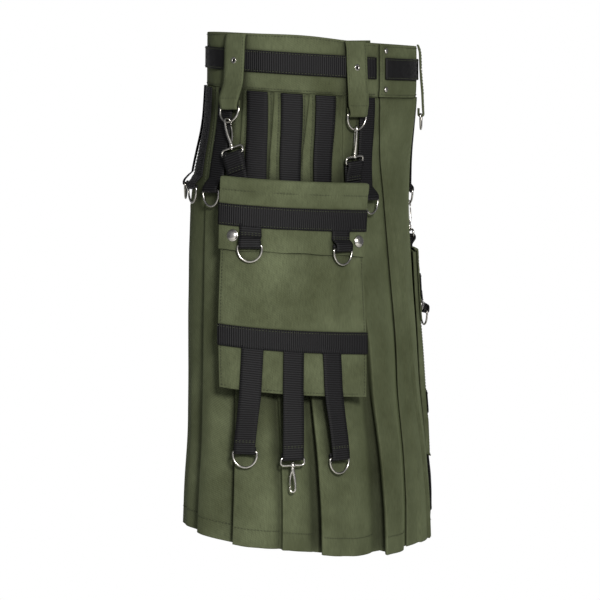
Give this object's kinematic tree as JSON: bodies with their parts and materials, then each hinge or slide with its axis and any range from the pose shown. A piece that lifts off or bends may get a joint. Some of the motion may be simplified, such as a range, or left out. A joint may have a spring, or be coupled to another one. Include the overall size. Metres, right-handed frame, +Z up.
{
  "type": "utility kilt",
  "caption": "Pleated twill utility kilt with an open waist and hem, webbing strips, belt loops, hanging D-rings and two flapped cargo pockets hung from snap hooks.",
  "frame": {"origin": "centre of the waistband, at the middle of its height, where the wearer's waist holds it", "axes": "+Z up, -Y the way the wearer faces, -X the wearer's right side"},
  "size_m": [0.4257, 0.2564, 0.6098],
  "materials": {
    "twill": "matt olive cotton twill",
    "webbing": "black ribbed polyester webbing",
    "nickel": "nickel-plated, polished"
  },
  "bodies": {
    "kilt": {"waistband": "twill", "waist_webbing": "webbing", "pleats_right": "twill", "pleats_left": "twill", "apron": "twill", "under_apron": "twill", "apron_snap_upper": "nickel", "apron_snap_lower": "nickel", "strip_right_1": "webbing", "strip_right_2": "webbing", "strip_right_3": "webbing", "strip_right_4": "webbing", "strip_right_5": "webbing", "strip_right_6": "webbing", "strip_right_7": "webbing", "strip_right_8": "webbing", "strip_left_1": "webbing", "strip_left_2": "webbing", "strip_left_3": "webbing", "strip_left_4": "webbing", "strip_left_5": "webbing", "strip_left_6": "webbing", "strip_left_7": "webbing", "belt_loop_right_front": "twill", "loop_ring_right_front": "nickel", "belt_loop_right_rear": "twill", "loop_ring_right_rear": "nickel", "belt_loop_left_front": "twill", "belt_loop_left_rear": "twill", "pocket_body_right": "twill", "pocket_flap_right": "twill", "flap_webbing_right": "webbing", "lower_webbing_right": "webbing", "pocket_hook_right_front": "nickel", "flap_stud_right_front": "nickel", "pocket_hook_right_rear": "nickel", "flap_stud_right_rear": "nickel", "pocket_body_left": "twill", "pocket_flap_left": "twill", "flap_webbing_left": "webbing", "lower_webbing_left": "webbing", "pocket_hook_left_front": "nickel", "flap_stud_left_front": "nickel", "pocket_hook_left_rear": "nickel", "flap_stud_left_rear": "nickel"},
    "loop_ring_left_front": {"loop_ring_left_front": "nickel"},
    "loop_ring_left_rear": {"loop_ring_left_rear": "nickel"},
    "flap_ring_right_front": {"flap_ring_right_front": "nickel"},
    "tail_ring_right_front": {"tail_ring_right_front": "nickel"},
    "flap_ring_right_rear": {"flap_ring_right_rear": "nickel"},
    "tail_ring_right_rear": {"tail_ring_right_rear": "nickel"},
    "flap_ring_left_front": {"flap_ring_left_front": "nickel"},
    "tail_ring_left_front": {"tail_ring_left_front": "nickel"},
    "flap_ring_left_rear": {"flap_ring_left_rear": "nickel"},
    "tail_ring_left_rear": {"tail_ring_left_rear": "nickel"},
    "tail_bar_right": {"tail_bar_right": "nickel"},
    "tail_hook_right": {"tail_hook_right": "nickel"},
    "tail_bar_left": {"tail_bar_left": "nickel"},
    "tail_hook_left": {"tail_hook_left": "nickel"}
  },
  "joints": [
    {"name": "loop_ring_left_front_swing", "type": "hinge", "parent": "kilt", "child": "loop_ring_left_front", "pos_m": [0.08264, -0.09888, -0.05585], "axis": [-0.9245, -0.3812, 0], "range_deg": [0, 85]},
    {"name": "loop_ring_left_rear_swing", "type": "hinge", "parent": "kilt", "child": "loop_ring_left_rear", "pos_m": [0.16074, 0.01926, -0.04769], "axis": [0.2152, -0.9766, 0], "range_deg": [0, 85]},
    {"name": "flap_ring_right_front_swing", "type": "hinge", "parent": "kilt", "child": "flap_ring_right_front", "pos_m": [-0.11045, -0.09557, -0.20458], "axis": [-0.9434, 0.3317, 0], "range_deg": [0, 100]},
    {"name": "tail_ring_right_front_swing", "type": "hinge", "parent": "kilt", "child": "tail_ring_right_front", "pos_m": [-0.12061, -0.09677, -0.43576], "axis": [-0.919, 0.3941, 0], "range_deg": [0, 100]},
    {"name": "flap_ring_right_rear_swing", "type": "hinge", "parent": "kilt", "child": "flap_ring_right_rear", "pos_m": [-0.1963, -0.02524, -0.19897], "axis": [-0.359, 0.9333, 0], "range_deg": [0, 100]},
    {"name": "tail_ring_right_rear_swing", "type": "hinge", "parent": "kilt", "child": "tail_ring_right_rear", "pos_m": [-0.19993, -0.02084, -0.42463], "axis": [-0.2773, 0.9608, 0], "range_deg": [0, 100]},
    {"name": "flap_ring_left_front_swing", "type": "hinge", "parent": "kilt", "child": "flap_ring_left_front", "pos_m": [0.17288, -0.06099, -0.29211], "axis": [-0.7476, -0.6641, 0], "range_deg": [0, 100]},
    {"name": "tail_ring_left_front_swing", "type": "hinge", "parent": "kilt", "child": "tail_ring_left_front", "pos_m": [0.18314, -0.05908, -0.53443], "axis": [-0.6649, -0.7469, 0], "range_deg": [0, 100]},
    {"name": "flap_ring_left_rear_swing", "type": "hinge", "parent": "kilt", "child": "flap_ring_left_rear", "pos_m": [0.19661, 0.03951, -0.28508], "axis": [0.3604, -0.9328, 0], "range_deg": [0, 100]},
    {"name": "tail_ring_left_rear_swing", "type": "hinge", "parent": "kilt", "child": "tail_ring_left_rear", "pos_m": [0.19835, 0.04061, -0.5248], "axis": [0.422, -0.9066, 0], "range_deg": [0, 100]},
    {"name": "tail_bar_right_swing", "type": "hinge", "parent": "kilt", "child": "tail_bar_right", "pos_m": [-0.17154, -0.06495, -0.43205], "axis": [-0.7312, 0.6822, 0], "range_deg": [0, 100]},
    {"name": "tail_hook_right_swivel", "type": "hinge", "parent": "tail_bar_right", "child": "tail_hook_right", "pos_m": [-0.17154, -0.06495, -0.43205], "axis": [0, 0, 1], "continuous": true},
    {"name": "tail_bar_left_swing", "type": "hinge", "parent": "kilt", "child": "tail_bar_left", "pos_m": [0.2067, -0.01247, -0.5329], "axis": [-0.1614, -0.9869, 0], "range_deg": [0, 100]},
    {"name": "tail_hook_left_swivel", "type": "hinge", "parent": "tail_bar_left", "child": "tail_hook_left", "pos_m": [0.2067, -0.01247, -0.5329], "axis": [0, 0, 1], "continuous": true}
  ]
}
